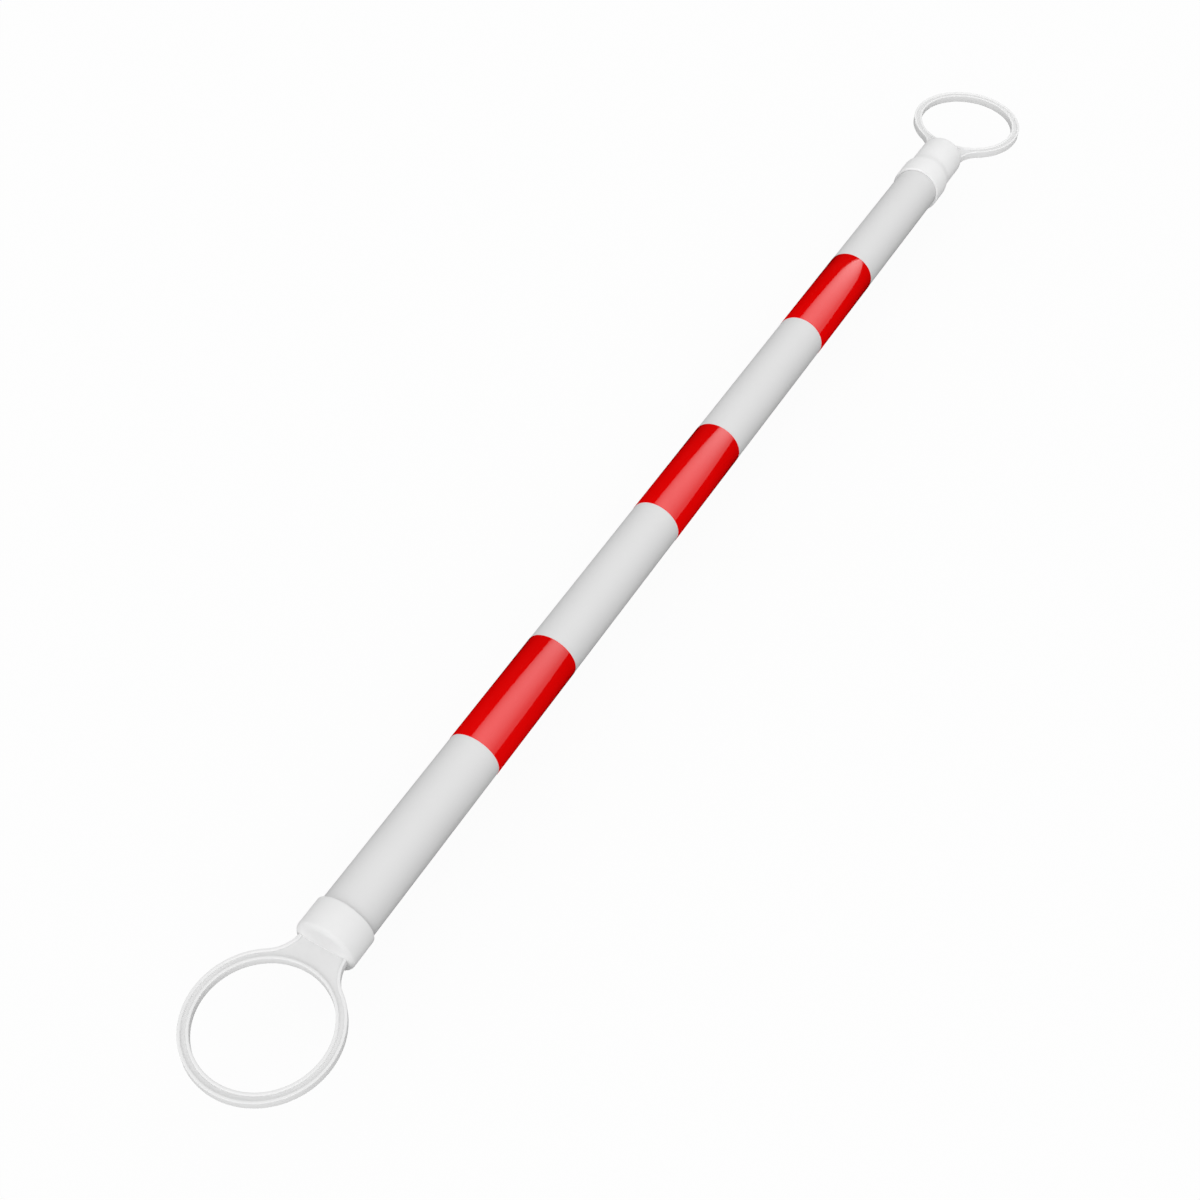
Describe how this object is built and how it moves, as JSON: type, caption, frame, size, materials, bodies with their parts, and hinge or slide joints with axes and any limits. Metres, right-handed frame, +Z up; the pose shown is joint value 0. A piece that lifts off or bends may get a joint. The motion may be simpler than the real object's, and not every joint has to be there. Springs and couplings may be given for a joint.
{
  "type": "retractable cone bar",
  "caption": "Retractable cone bar: a banded tube with a flat ring at each end that drops over road cones; its inner tube slides out and turns to reach the next cone.",
  "frame": {"origin": "middle of the fixed ring's bore, at half its height", "axes": "+X along the bar towards the sliding ring, +Z up along the rings' axis, +Y across"},
  "size_m": [1.1996, 0.1002, 0.0436],
  "materials": {
    "moulded_white": "satin moulded plastic",
    "tube_white": "matte extruded plastic",
    "film_red": "glossy reflective film",
    "plug_grey": "moulded plastic, as it leaves the mould",
    "friction_black": "smooth nylon"
  },
  "bodies": {
    "outer_section": {"fixed_ring_end": "moulded_white", "outer_tube": "tube_white", "end_sleeve": "moulded_white", "red_band_1": "film_red", "red_band_2": "film_red", "red_band_3": "film_red"},
    "friction_slide": {"friction_ring": "friction_black"},
    "inner_section": {"sliding_ring_end": "moulded_white", "inner_tube": "tube_white", "inner_red_band_1": "film_red", "inner_red_band_2": "film_red", "inner_red_band_3": "film_red", "stop_plug": "plug_grey"}
  },
  "joints": [
    {"name": "extend", "type": "slide", "parent": "outer_section", "child": "friction_slide", "axis": [1, 0, 0], "range_m": [0, 0.876]},
    {"name": "swivel", "type": "hinge", "parent": "friction_slide", "child": "inner_section", "pos_m": [0.087, 0, 0], "axis": [1, 0, 0], "continuous": true}
  ]
}
